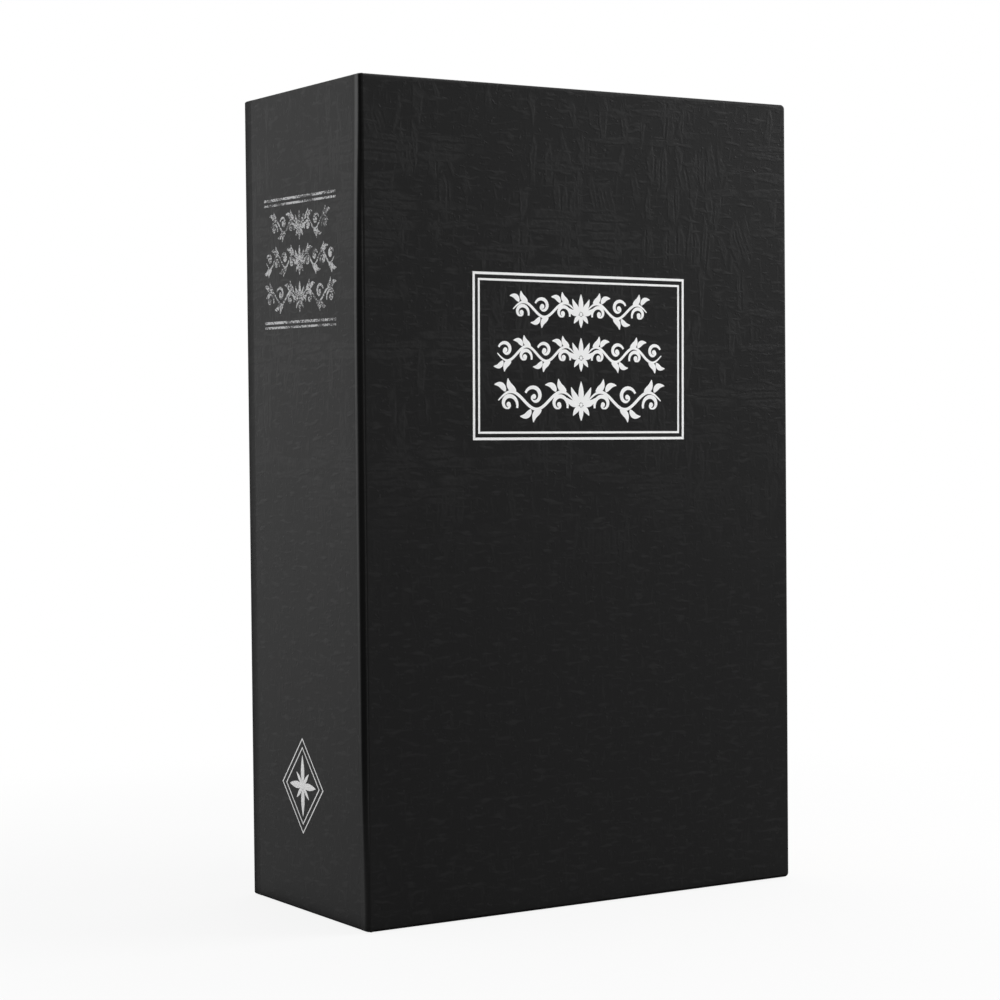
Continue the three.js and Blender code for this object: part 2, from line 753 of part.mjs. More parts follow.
// Cam: a flat arm that hangs down when the door is free, and swings behind the keeper to lock
function camPiece() {
  const half = camWidth / 2;
  const tip = THREE.MathUtils.radToDeg(Math.asin(half / camReach));
  const outline = new THREE.Shape([
    ...arcPoints(0, 0, half, 0, 180, coarseTurn / 2),
    ...arcPoints(0, 0, camReach, 270 - tip, 270 + tip, 2 * cornerSteps),
  ]);
  outline.holes.push(tailHole());
  return piece('cam', lockPlate(outline, camFront, camBack), bareSteel);
}

// Cam screw: a slotted pan head that clamps the cam on the plug's tail
function camScrew() {
  const headEnd = screwSeat + screwHeadHeight;
  const turned = lockTurned(
    [
      [0, screwTip],
      [screwShankRadius, screwTip],
      [screwShankRadius, screwSeat],
      [screwHeadRadius, screwSeat],
      [screwHeadRadius, headEnd - screwHeadHeight / 2],
      [screwHeadRadius - screwHeadHeight / 2, headEnd],
      [0, headEnd],
    ],
    coarseTurn,
  );
  const slot = lockBlock(screwSlotWidth / 2, [headEnd - screwSlotDepth, headEnd + overrun], headRadius);
  return piece('cam_screw', solid(turned).subtract(solid(slot)), bareSteel);
}

// A group whose origin is a hinge's or the lock's axis. Its pieces are drawn in the book's frame,
// so turning the group moves them as the real joint does.
function hungOn(axis, pieces) {
  const group = new THREE.Group();
  group.position.copy(axis);
  pieces.forEach((member) => {
    member.position.sub(axis);
    group.add(member);
  });
  return group;
}

// Assembly: what stands still, the front cover, and the door with the turning part of its lock
const lockCore = hungOn(lockAxis, [lockPlug(), ...waferPieces(), stopDisc(), camPiece(), camScrew()]);
const doorFixed = [
  doorPiece(),
  hingeLeaf('hinge_door_leaf', 1),
  lockHousing(),
  lockWasher(),
  lockNut(),
];
const door = hungOn(doorHinge, [...doorFixed, lockCore]);
const frontCover = hungOn(coverHinge, coverPieces('front', frontFace, 1));

const book = new THREE.Group();
book.add(
  ...spinePieces(),
  jointStrip('front_joint', -1),
  jointStrip('rear_joint', 1),
  ...coverPieces('back', backFace, -1),
  ...pageEdges(),
  trayPiece(),
  keeperPiece(),
  ...tapePieces(),
  hingeLeaf('hinge_frame_leaf', -1),
  hingePin(),
  frontCover,
  door,
);

export default book;
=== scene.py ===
import math
import random

import bmesh
import bpy
from mathutils import Matrix, Vector


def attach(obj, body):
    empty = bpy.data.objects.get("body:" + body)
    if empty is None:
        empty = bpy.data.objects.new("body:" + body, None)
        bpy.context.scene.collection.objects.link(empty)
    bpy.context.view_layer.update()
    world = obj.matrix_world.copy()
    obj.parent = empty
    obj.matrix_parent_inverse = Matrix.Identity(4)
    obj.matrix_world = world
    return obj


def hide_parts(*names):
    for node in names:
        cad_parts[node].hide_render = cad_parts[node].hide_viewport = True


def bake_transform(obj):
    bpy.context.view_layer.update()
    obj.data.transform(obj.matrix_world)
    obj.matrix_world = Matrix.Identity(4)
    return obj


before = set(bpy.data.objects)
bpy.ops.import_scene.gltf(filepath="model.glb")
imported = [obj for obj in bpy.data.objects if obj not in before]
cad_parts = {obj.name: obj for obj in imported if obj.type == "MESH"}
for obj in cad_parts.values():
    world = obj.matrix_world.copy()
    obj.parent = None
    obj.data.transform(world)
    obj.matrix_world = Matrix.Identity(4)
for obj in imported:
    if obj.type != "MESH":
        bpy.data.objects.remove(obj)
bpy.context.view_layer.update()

# Grey boards
# Three 2 mm boards of pressed waste paper stiffen the covers and the spine. They are
# guillotined to size and glued inside the black paper, so only their hinge edges are bare.


class Value:
    """The output of a node, for use in sums and as an input."""

    def __init__(self, nodes, socket):
        self.nodes = nodes
        self.socket = socket

    def sum(self, operation, first, second):
        return self.nodes.node("ShaderNodeMath", {"operation": operation}, {0: first, 1: second})

    def __add__(self, other):
        return self.sum("ADD", self, other)

    def __sub__(self, other):
        return self.sum("SUBTRACT", self, other)

    def __rsub__(self, other):
        return self.sum("SUBTRACT", other, self)

    def __mul__(self, other):
        return self.sum("MULTIPLY", self, other)

    def __truediv__(self, other):
        return self.sum("DIVIDE", self, other)

    __radd__ = __add__
    __rmul__ = __mul__

    def most(self, other):
        return self.sum("MAXIMUM", self, other)

    def rise(self, low, high):
        """0 below low, 1 above high, and a smooth step between them."""
        steps = {"interpolation_type": "SMOOTHSTEP"}
        ends = {"Value": self, "From Min": low, "From Max": high}
        return self.nodes.node("ShaderNodeMapRange", steps, ends)


class Nodes:
    """The nodes of one tree."""

    def __init__(self, tree):
        self.tree = tree

    def feed(self, node, inputs):
        for key, value in inputs.items():
            if isinstance(value, Value):
                self.tree.links.new(value.socket, node.inputs[key])
            else:
                node.inputs[key].default_value = value

    def node(self, kind, settings, inputs, output=0):
        made = self.tree.nodes.new(kind)
        for key, value in settings.items():
            setattr(made, key, value)
        self.feed(made, inputs)
        return Value(self, made.outputs[output]) if made.outputs else None


class Finish(Nodes):
    """A material round one Principled shader, whose constants go straight on its sockets."""

    def __init__(self, name, constants):
        self.material = bpy.data.materials.new(name)
        self.material.use_nodes = True
        super().__init__(self.material.node_tree)
        self.shader = self.tree.nodes["Principled BSDF"]
        self.feed(self.shader, constants)

    def place(self):
        """X, Y and Z of the point in the book's frame, in millimetres."""
        here = self.node("ShaderNodeTexCoord", {}, {}, "Object")
        scaled = self.node("ShaderNodeMapping", {}, {"Vector": here, "Scale": (1000, 1000, 1000)})
        return [self.node("ShaderNodeSeparateXYZ", {}, {"Vector": scaled}, axis) for axis in "XYZ"]

    def noise(self, x, y, z, detail=2.0, roughness=0.5):
        """Soft noise about 0.5, one unit from patch to patch."""
        point = self.node("ShaderNodeCombineXYZ", {}, {"X": x, "Y": y, "Z": z})
        settings = {"Vector": point, "Scale": 1.0, "Detail": detail, "Roughness": roughness}
        return self.node("ShaderNodeTexNoise", {}, settings)

    def colour(self, share, low, high):
        """Lets the surface's colour go from low to high with share."""
        ends = {0: share, 6: (*low, 1), 7: (*high, 1)}
        mixed = self.node("ShaderNodeMix", {"data_type": "RGBA"}, ends, 2)
        self.feed(self.shader, {"Base Color": mixed})

    def emboss(self, height, depth):
        """Raises the surface by height, which is 0 to 1, times depth in metres."""
        bump = self.node("ShaderNodeBump", {}, {"Height": height, "Distance": depth})
        self.feed(self.shader, {"Normal": bump})


def dress(finish, slot, *names):
    """Gives CAD nodes a finish."""
    for name in names:
        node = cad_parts[name]
        node.data.materials.clear()
        node.data.materials.append(finish.material)


board = Finish("grey_board", {"Roughness": 0.95, "Specular IOR Level": 0.2})
x, y, z = board.place()
fibres = board.noise((x + y) / 0.9, (y - z) / 0.5, z / 1.4, 4.0, 0.7)
board.colour(fibres, (0.17, 0.155, 0.13), (0.36, 0.335, 0.29))
board.emboss(fibres, 0.00006)
dress(board, "grey_board", "front_board", "back_board", "spine_board")

# Cover paper on the back cover and the front cover
# One sheet of black paper, rolled with a pattern of crossed silk threads and coated satin.
# It is glued over each board and turned in round the head, the tail and the fore-edge.
FOIL = 0.03  # foil's face in front of the paper's; sizes are in millimetres
PAPER = 0.3
SPINE_FACE = -57.0 + FOIL
FORE_EDGE = 57.0
FRONT_FACE = -27.25 + FOIL
BACK_FACE = 27.25
HEAD = 182.0
HINGE_EDGE = -56.1
PAPER_BACK = 2.7  # outer face to the turned-in paper's inner face, over the board
TURN_IN = 15.0
EDGE_ROUND = 0.75
CORNER_ROUND = 1.0
ROUND_STEPS = 5
SHARP = math.radians(40)  # faces that meet at more than this have an edge between them
PAPER_BLACK, THREAD_BLACK = (0.0056, 0.0056, 0.0057), (0.0145, 0.0145, 0.0146)
THREAD_RELIEF = 0.000045  # in metres
PAPER_GLOSS = 0.09
BROAD_THREADS = (82, 150)  # heights between which the broad threads come in


def silk_paper(name, gloss, broad, across, up):
    """Black book paper, with its relief. Broad, across and up are the shares of broad threads and
    of fine ones that run across and up."""
    paper = Finish(name, {"Specular IOR Level": gloss})
    x, y, z = paper.place()
    sway = paper.noise(x / 14, y / 14, z / 14, 2.0) - 0.5
    shake = [paper.noise(x / 2.1 + far, y / 2.1, z / 2.1, 1.0) - 0.5 for far in (0.0, 50.0)]
    # Across and up the book, a little astray, as the threads lie
    u = x + y + sway * 1.2 + shake[0] * 0.6
    w = z + sway * 1.2 + shake[1] * 0.6
    upper = (z + paper.noise(x / 26, y / 26, z / 26, 1.0) * 50).rise(*BROAD_THREADS)

    def ribbons(run, pitch, share):
        """Flat threads with a raised rim, on a share of the cells of a weave."""
        flat = {"voronoi_dimensions": "2D"}
        point = paper.node("ShaderNodeCombineXYZ", {}, {"X": run, "Y": pitch})
        cell = {"Vector": point, "Scale": 1.0, "Randomness": 0.8}
        plan = paper.node("ShaderNodeTexVoronoi", flat, cell, "Color")
        edge = paper.node("ShaderNodeTexVoronoi", {**flat, "feature": "DISTANCE_TO_EDGE"}, cell)
        lot = paper.node("ShaderNodeSeparateColor", {}, {"Color": plan}, "Red")
        rim = edge.rise(0.0, 0.24) * (1 - edge.rise(0.24, 0.44) * 0.5)
        return lot.rise(1 - share, 1.01 - share) * rim

    def flecks(run, pitch, seed, low):
        """Short slubs, pointed at both ends."""
        return paper.noise(run, pitch, seed, 1.0).rise(low, low + 0.26)

    laid = ribbons(u / 14, w / 2.1, 0.62)
    laid *= paper.noise(u / 34, w / 9, 31.7, 0.0).rise(0.45, 0.54)
    stood = ribbons(w / 9.5, u / 2.1, 0.52)
    stood *= paper.noise(u / 9, w / 30, 47.2, 0.0).rise(0.45, 0.54)
    crossed = ribbons((w - u * 0.3) / 10, (u + w * 0.3) / 2.4, 0.4)
    crossed *= paper.noise(u / 12, w / 14, 63.9, 0.0).rise(0.56, 0.64)
    lumps = paper.noise(u / 1.1, w / 1.1, 8.8, 1.0).rise(0.35, 0.62) * 0.5 + 0.6
    thrown = laid.most(stood).most(crossed * 0.8) * lumps * upper * broad
    slubs = flecks(u / 3.8, w / 1.1, 14.2, 0.53) * across
    slubs = slubs.most(flecks(u / 1.2, w / 4.2, 21.9, 0.55) * up)
    spots = flecks(u / 1.1, w / 0.9, 5.4, 0.6)
    relief = thrown.most(slubs.most(spots) * (upper * 0.3 + 0.6))
    pits = flecks(u / 1.3, w / 1.5, 77.1, 0.62)
    grain = paper.noise(x / 0.2, y / 0.2, z / 0.2, 2.0)
    paper.colour(relief, PAPER_BLACK, THREAD_BLACK)
    paper.feed(paper.shader, {"Roughness": 0.47 - relief * 0.05 + grain * 0.06})
    paper.emboss(relief + grain * 0.1 - pits * 0.6, THREAD_RELIEF)
    return paper, relief


def box_between(bm, low, high):
    """A box between two corners, in millimetres."""
    low, high = Vector(low), Vector(high)
    place = Matrix.Translation((low + high) / 2) @ Matrix.Diagonal((*(high - low), 1))
    bmesh.ops.create_cube(bm, size=1, matrix=place)


def cut_across(bm, faces, axis, at):
    """Splits some faces where they cross a plane square to an axis."""
    edges = {e for f in faces for e in f.edges}
    verts = {v for f in faces for v in f.verts}
    square_to = [Vector((1, 0, 0)), Vector((0, 1, 0)), Vector((0, 0, 1))][axis]
    bmesh.ops.bisect_plane(
        bm, geom=[*faces, *edges, *verts], dist=1e-6, plane_co=square_to * at, plane_no=square_to
    )


def faces_at(bm, axis, at):
    """The flat faces that lie in a plane square to an axis."""
    return [f for f in bm.faces if all(abs(v.co[axis] - at) < 1e-4 for v in f.verts)]


def to_piece(name, bm, finish, body, replaced=(), even=True):
    """A finished piece from a mesh in millimetres, riding on a body in place of CAD nodes."""
    bmesh.ops.recalc_face_normals(bm, faces=bm.faces)
    bmesh.ops.scale(bm, vec=(0.001, 0.001, 0.001), verts=bm.verts)
    for face in bm.faces:
        face.smooth = True
    mesh = bpy.data.meshes.new(name)
    bm.to_mesh(mesh)
    bm.free()
    mesh.set_sharp_from_angle(angle=SHARP)
    mesh.materials.append(finish.material)
    made = bpy.data.objects.new(name, mesh)
    bpy.context.scene.collection.objects.link(made)
    if even:
        made.modifiers.new("even_shading", "WEIGHTED_NORMAL").keep_sharp = True
    if body:
        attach(made, body)
    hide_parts(*replaced)
    return made


def round_off(bm, edges, radius):
    bmesh.ops.bevel(
        bm, geom=edges, offset=radius, segments=ROUND_STEPS, profile=0.5, affect="EDGES",
        material=-1,
    )


def sharp_edges(bm):
    return [e for e in bm.edges if len(e.link_faces) == 2 and e.calc_face_angle() > SHARP]


def cover_sheet(face, inward):
    """The paper round one cover's board, open at the hinge and where the lining lies."""
    inner = face + inward * PAPER_BACK
    bm = bmesh.new()
    box_between(bm, (HINGE_EDGE, min(face, inner), 0), (FORE_EDGE, max(face, inner), HEAD))
    through = [e for e in bm.edges if e.verts[0].co.y != e.verts[1].co.y]
    corners = [e for e in through if min(v.co.x for v in e.verts) > FORE_EDGE - CORNER_ROUND]
    round_off(bm, corners, CORNER_ROUND)
    for axis, at in ((0, FORE_EDGE - TURN_IN), (2, TURN_IN), (2, HEAD - TURN_IN)):
        cut_across(bm, faces_at(bm, 1, inner), axis, at)
    window = [f for f in faces_at(bm, 1, inner) if f.calc_center_median().x < FORE_EDGE - TURN_IN]
    window = [f for f in window if TURN_IN < f.calc_center_median().z < HEAD - TURN_IN]
    bmesh.ops.delete(bm, geom=window + faces_at(bm, 0, HINGE_EDGE), context="FACES")
    round_off(bm, sharp_edges(bm), EDGE_ROUND)
    bmesh.ops.recalc_face_normals(bm, faces=bm.faces)
    bmesh.ops.solidify(bm, geom=bm.faces, thickness=PAPER)
    return bm


cover_paper, _ = silk_paper("cover_paper", PAPER_GLOSS, 0.78, 1.0, 0.5)
for name, sheet, body, wrap in (
    ("back_cover_paper", cover_sheet(BACK_FACE, -1), "case", "back_wrap"),
    ("front_cover_paper", cover_sheet(FRONT_FACE, 1), "front_cover", "front_wrap"),
):
    to_piece(name, sheet, cover_paper, body, [wrap])

# Cover paper on the spine
# The same sheet runs on round the spine's board and is turned in at the head and tail. It lies
# tight on the board here, and its broad threads stand out less.
SPINE_HALF = 23.75
SPINE_ROUND = 0.5


def spine_sheet():
    """The paper round the spine's board, open at both joints and where the lining lies."""
    inner = SPINE_FACE + PAPER_BACK
    bm = bmesh.new()
    box_between(bm, (SPINE_FACE, -SPINE_HALF, 0), (inner, SPINE_HALF, HEAD))
    for at in (TURN_IN, HEAD - TURN_IN):
        cut_across(bm, faces_at(bm, 0, inner), 2, at)
    window = [
        f for f in faces_at(bm, 0, inner) if TURN_IN < f.calc_center_median().z < HEAD - TURN_IN
    ]
    ends = faces_at(bm, 1, -SPINE_HALF) + faces_at(bm, 1, SPINE_HALF)
    bmesh.ops.delete(bm, geom=window + ends, context="FACES")
    round_off(bm, sharp_edges(bm), SPINE_ROUND)
    bmesh.ops.recalc_face_normals(bm, faces=bm.faces)
    bmesh.ops.solidify(bm, geom=bm.faces, thickness=PAPER)
    return bm


spine_paper, _ = silk_paper("spine_paper", PAPER_GLOSS, 0.6, 1.0, 0.5)
to_piece("spine_paper", spine_sheet(), spine_paper, "case", ["spine_wrap"])

# Paper joints
# Between the spine's board and each cover's there is only paper. It is pressed in between
# the boards, and stands fuller at the head and tail, where it is turned in double.
JOINT_TURN = 0.42  # radius of the turned-in fold at the head and tail
JOINT_LEG = 6.0  # how far the turned-in leg is drawn
JOINT_ROWS = 60
JOINT_STEPS = 3  # columns between two bends
TUCK_FROM_HEAD = 58.0  # how far the groove takes to reach its full depth
TUCK_FROM_TAIL = 40.0
CROWN = 20.0  # how far down from the head it is squarer
JOINT_GLOSS = 0.03

# The bends across a joint, from the spine's edge to the cover's. Each is a pair of depths behind
# the spine's face and the cover's. The front joint has a groove at mid height, none near the head
# and tail, and a square crown at the head.
REAR_BENDS = (
    (0, 3.5), (0, 2.9), (0, 2.3), (0, 1.7), (0, 1.1), (0, 0.65), (0.05, 0.32), (0.17, 0.12),
    (0.36, 0.02), (0.6, 0), (0.87, 0),
)
GROOVE = (
    (0, 3.47), (0, 3.1), (-0.01, 2.8), (-0.03, 2.54), (0.01, 2.34), (0.11, 2.1), (0.27, 1.76),
    (0.43, 1.42), (0.55, 1.12), (0.6, 0.85), (0.57, 0.6), (0.51, 0.4), (0.46, 0.22), (0.5, 0.06),
    (0.66, 0), (0.87, 0),
)
GROOVE_ENDS = (
    (0, 3.47), (0, 3.0), (0, 2.5), (-0.01, 2.0), (-0.015, 1.55), (0, 1.2), (0.03, 0.98),
    (0.09, 0.8), (0.17, 0.65), (0.26, 0.53), (0.36, 0.43), (0.47, 0.34), (0.56, 0.26),
    (0.64, 0.16), (0.74, 0.06), (0.87, 0),
)
GROOVE_CROWN = (
    (0, 3.47), (0, 2.9), (0, 2.35), (0, 1.85), (0, 1.45), (0, 1.1), (0, 0.82), (0.01, 0.6),
    (0.05, 0.43), (0.12, 0.31), (0.2, 0.22), (0.31, 0.15), (0.43, 0.09), (0.56, 0.04),
    (0.71, 0.01), (0.87, 0),
)


def smooth_through(points, t):
    """The place at t, from 0 to 1, on a smooth line through some points."""
    place = t * (len(points) - 1)
    k = min(int(place), len(points) - 2)
    f = place - k
    a, b, c, d = (points[min(max(k + j, 0), len(points) - 1)] for j in (-1, 0, 1, 2))
    rise = (c - a) * f + (a * 2 - b * 5 + c * 4 - d) * f * f
    return b + (rise + (b * 3 - a - c * 3 + d) * f ** 3) / 2


def joint_strip(side, middle, ends, crown):
    """The strip from the spine's edge to a cover's, -1 being the front cover's side, from its
    bends at mid height, near the ends and at the head."""
    fold = [math.pi * (1 - k / 8) for k in range(9)]
    turn = [(JOINT_LEG * (1 - k / 3) + JOINT_TURN * k / 3, 2 * JOINT_TURN) for k in range(3)]
    turn += [(JOINT_TURN * (1 - math.sin(a)), JOINT_TURN * (1 - math.cos(a))) for a in fold]
    reach = HEAD - 2 * JOINT_TURN
    way = turn + [(JOINT_TURN + reach * k / JOINT_ROWS, 0) for k in range(1, JOINT_ROWS)]
    way += [(HEAD - height, inset) for height, inset in reversed(turn)]
    columns = (len(middle) - 1) * JOINT_STEPS
    outer = FRONT_FACE if side < 0 else BACK_FACE
    bm = bmesh.new()
    bm.loops.layers.uv.new("strip")
    bmesh.ops.create_grid(bm, x_segments=columns, y_segments=len(way) - 1, size=0.5, calc_uvs=True)
    for v in bm.verts:
        along = min(max(v.co.x + 0.5, 0), 1)
        height, inset = way[round((v.co.y + 0.5) * (len(way) - 1))]
        tuck = min(1, (HEAD - height) / TUCK_FROM_HEAD, height / TUCK_FROM_TAIL)
        tuck *= tuck * (3 - 2 * tuck)
        crest = max(0, 1 - (HEAD - height) / CROWN)
        bends = [Vector(end).lerp(Vector(mid), tuck) for mid, end in zip(middle, ends)]
        bends = [bend.lerp(Vector(top), crest) for bend, top in zip(bends, crown)]
        leg = Vector((2 * JOINT_TURN, bends[0].y))
        leg = leg.lerp(Vector((bends[-1].x, 2 * JOINT_TURN)), along)
        here = smooth_through(bends, along).lerp(leg, inset / (2 * JOINT_TURN))
        v.co = (SPINE_FACE + here.x, outer - side * here.y, height)
    bmesh.ops.recalc_face_normals(bm, faces=bm.faces)
    if sum(f.normal.x * f.calc_area() for f in bm.faces) > 0:
        bmesh.ops.reverse_faces(bm, faces=bm.faces)
    bm.normal_update()
    back = bmesh.ops.extrude_face_region(bm, geom=bm.faces)["geom"]
    for v in back:
        if isinstance(v, bmesh.types.BMVert):
            v.co -= v.normal * PAPER
    return bm


def joint_finish(name):
    """The paper of a joint, with how far a point lies across the strip and its relief."""
    paper, relief = silk_paper(name, JOINT_GLOSS, 0.6, 1.0, 0.5)
    strip = paper.node("ShaderNodeUVMap", {"uv_map": "strip"}, {})
    return paper, paper.node("ShaderNodeSeparateXYZ", {}, {"Vector": strip}, "X"), relief


def grey_of(nodes, shade):
    return nodes.node("ShaderNodeCombineColor", {}, {"Red": shade, "Green": shade, "Blue": shade})


rear_paper, along, relief = joint_finish("rear_joint_paper")
# Painted sheen and shade: the rear joint is painted lighter on the spine's side and darker towards
# the back cover.
shade = relief * 0.004 + 0.0075 + (1 - along.rise(0.0, 0.5)) * 0.0165
rear_paper.feed(rear_paper.shader, {"Base Color": grey_of(rear_paper, shade)})
rear_strip = joint_strip(1, REAR_BENDS, REAR_BENDS, REAR_BENDS)
to_piece(
    "rear_joint_paper", rear_strip, rear_paper, "case", ["rear_joint"], even=False
)

# The front joint's colour carries painted light. A painted shade darkens the groove, and a painted
# highlight runs along the spine's edge, stronger towards the head. A painted sheen lightens the
# strip's spine side, more towards the head, and its cover side. The strip is also painted lighter
# towards the tail.
joint_paper, along, relief = joint_finish("joint_paper")
height = joint_paper.place()[2]
near_head = height.rise(148, 182) * 0.18
# Painted sheen: the spine's side of the strip is painted lighter, the more so towards the head.
painted_sheen_spine_side = 1 - (along - near_head).rise(0.2, 0.32)
# Painted shade: the groove is painted darker, fading out near the tail.
painted_groove_shade = (along - near_head).rise(0.24, 0.38) * (1 - along.rise(0.6, 0.85)) * height.rise(4, 36)
# Painted highlight along the spine's edge, stronger towards the head.
edge = along - height.rise(105, 185) * 0.24
painted_edge_highlight = edge.rise(-0.14, -0.02) * (1 - edge.rise(0.07, 0.21)) * (height / HEAD - 0.15).most(0)
shade = (relief * 0.004 + 0.0058) * (1 - painted_groove_shade * 0.7)
shade += painted_sheen_spine_side * (height.rise(90, 180) * 0.013 + 0.02) + painted_edge_highlight * 0.09
# Painted sheen on the cover's side of the strip, and the strip painted lighter towards the tail.
shade += along.rise(0.75, 0.9) * 0.005 + (1 - height.rise(0, 50)) * 0.005
joint_paper.feed(joint_paper.shader, {"Base Color": grey_of(joint_paper, shade)})
front_strip = joint_strip(-1, GROOVE, GROOVE_ENDS, GROOVE_CROWN)
front_joint = to_piece(
    "front_joint_paper", front_strip, joint_paper, None, ["front_joint"], even=False
)
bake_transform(front_joint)

# Linings
# Plain black endpaper, cut 3 mm short of the boards, covers the boards' inner faces and the
# turned-in paper.
lining = Finish("lining_paper", {"Specular IOR Level": 0.25})
x, y, z = lining.place()
felt = lining.noise(x / 0.5, y / 0.5, z / 0.5, 4.0, 0.65)
lining.colour(felt, (0.011, 0.011, 0.011), (0.024, 0.024, 0.024))
lining.feed(lining.shader, {"Roughness": 0.75 + felt * 0.15})
lining.emboss(felt, 0.00004)
dress(lining, "lining_paper", "front_lining", "back_lining", "spine_lining")

# Joint lining
# Where the front cover's lining ends, a strip of the same paper runs on over the joint and
# holds the cover to the spine from inside. It lies folded in two while the book is shut.
GUARD = 0.2
GUARD_LEG = (-53.12, -24.5)  # on the cover's board, where the lining ends
GUARD_FOLD = (-55.7, -24.135)  # middle of the fold
GUARD_HALF = 0.365  # radius of the fold's outer face
GUARD_END = -54.35  # on the spine board's edge
LINING_FOOT, LINING_HEAD = 3.0, 179.0
leg = GUARD_FOLD[0] - GUARD_LEG[0]
fold = [math.pi * k / 16 for k in range(17)]
way = [Vector((GUARD_LEG[0] + leg * k / 4, GUARD_LEG[1])) for k in range(4)]
way += [Vector(GUARD_FOLD) - GUARD_HALF * Vector((math.sin(a), math.cos(a))) for a in fold]
way += [Vector((GUARD_END, GUARD_FOLD[1] + GUARD_HALF))]
guard_bm = bmesh.new()
bmesh.ops.create_grid(guard_bm, x_segments=len(way) - 1, y_segments=24, size=0.5)
for v in guard_bm.verts:
    step = way[round((v.co.x + 0.5) * (len(way) - 1))]
    v.co = (step.x, step.y, LINING_FOOT + (LINING_HEAD - LINING_FOOT) * (v.co.y + 0.5))
guard_bm.normal_update()
if next(iter(guard_bm.faces)).normal.y > 0:
    bmesh.ops.reverse_faces(guard_bm, faces=guard_bm.faces)
guard_bm.normal_update()
for v in bmesh.ops.extrude_face_region(guard_bm, geom=guard_bm.faces)["geom"]:
    if isinstance(v, bmesh.types.BMVert):
        v.co -= v.normal * GUARD
guard = to_piece("joint_lining", guard_bm, lining, None, even=False)
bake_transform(guard)

# White foil on the front cover
# Foil stamped into the paper with a hot die: a frame of two rules, and three rows of
# scrollwork inside it.
white_foil = Finish("white_foil", {"Specular IOR Level": 0.3})
x, y, z = white_foil.place()
cloud = white_foil.noise(x / 1.3, y / 1.3, z / 1.3, 3.0)
white_foil.colour(cloud, (0.88, 0.88, 0.88), (0.94, 0.94, 0.94))
white_foil.feed(white_foil.shader, {"Roughness": 0.5 + cloud * 0.15})


def rule_frame(bm, width, height, stroke):
    """A flat ring with square corners in X and Z, a foil's thickness deep in Y."""
    place = Matrix.Rotation(math.pi / 2, 4, "X") @ Matrix.Diagonal((width, height, 1, 1))
    made = bmesh.ops.create_grid(bm, x_segments=1, y_segments=1, size=0.5, matrix=place)
    sheet = made["verts"][0].link_faces[0]
    rule = bmesh.ops.inset_region(
        bm, faces=[sheet], thickness=stroke, use_boundary=True, use_even_offset=True
    )["faces"]
    bmesh.ops.delete(bm, geom=[sheet], context="FACES")
    raised = bmesh.ops.extrude_face_region(bm, geom=rule)["geom"]
    raised = [v for v in raised if isinstance(v, bmesh.types.BMVert)]
    bmesh.ops.translate(bm, vec=(0, -FOIL, 0), verts=raised)


FOIL_FLAT = 0.03  # a foil stroke's thickness over its width


def stroke_mesh(strokes):
    """The dies' strokes as flattened tubes. A stroke is a list of x, z and half width."""
    curve = bpy.data.curves.new("strokes", "CURVE")
    curve.dimensions = "3D"
    curve.bevel_depth = 1
    curve.bevel_resolution = 1
    curve.use_fill_caps = True
    for stroke in strokes:
        line = curve.splines.new("POLY")
        if stroke[0] == stroke[-1]:
            line.use_cyclic_u = True
            stroke = stroke[:-1]
        line.points.add(len(stroke) - 1)
        for point, (across, up, half) in zip(line.points, stroke):
            point.co = (across, up, 0, 1)
            point.radius = half
    holder = bpy.data.objects.new("strokes", curve)
    bpy.context.scene.collection.objects.link(holder)
    graph = bpy.context.evaluated_depsgraph_get()
    mesh = bpy.data.meshes.new_from_object(holder.evaluated_get(graph))
    bm = bmesh.new()
    bm.from_mesh(mesh)
    bpy.data.objects.remove(holder)
    bpy.data.meshes.remove(mesh)
    bmesh.ops.remove_doubles(bm, verts=bm.verts, dist=1e-5)
    bmesh.ops.scale(bm, vec=(1, 1, FOIL_FLAT), verts=bm.verts)
    return bm


def ball(x, z, radius):
    """A dot, drawn as a short stroke that swells to a half circle on each side."""
    arc = [math.pi * k / 8 for k in range(9)]
    return [[(x + radius * math.cos(a), z, radius * math.sin(a) + 0.01) for a in arc]]


CURL_STEPS = 26
CURL_BALL = 0.55


def curl(x, z, radius, start, turns, wide):
    """A scroll that winds in to its centre, from a start angle in degrees, and ends in a ball."""
    points = []
    for k in range(CURL_STEPS + 1):
        t = k / CURL_STEPS
        angle = math.radians(start + 360 * turns * t)
        reach = radius * (1 - t) ** 0.9
        swell = 0.35 + 0.65 * math.sin(math.pi * min(1, t * 1.4 + 0.08)) ** 0.8 if t < 0.68 else 0.5
        half = max(0.1, wide * swell)
        points.append((x + reach * math.cos(angle), z + reach * math.sin(angle), half))
    return [points] + ball(x, z, CURL_BALL)


def leaf(x, z, angle, length, wide, bend):
    """A leaf that springs from x, z at an angle and curves to one side."""
    points = []
    turn = math.radians(angle)
    for k in range(15):
        t = k / 14
        side = bend * length * math.sin(math.pi * t)
        along = length * t
        half = wide / 2 * (math.sin(math.pi * t ** 0.75) ** 0.9) + 0.05
        points.append((
            x + along * math.cos(turn) - side * math.sin(turn),
            z + along * math.sin(turn) + side * math.cos(turn),
            half,
        ))
    return [points]


FAN_HOLLOW = 0.45  # how far from its middle a fan's petals begin


def fan(x, z, facing, step, count, length, wide):
    """Petals that spread from a point, the middle one the longest."""
    strokes = []
    for k in range(count):
        off = k - (count - 1) / 2
        angle = facing + step * off
        foot = Vector((math.cos(math.radians(angle)), math.sin(math.radians(angle)))) * FAN_HOLLOW
        reach = length * (1 - 0.1 * abs(off))
        strokes += leaf(x + foot.x, z + foot.y, angle, reach, wide, 0.07 * off)
    return strokes


def mirrored(strokes):
    """The strokes and their mirror image about x = 0."""
    return strokes + [[(-x, z, half) for x, z, half in s] for s in strokes]


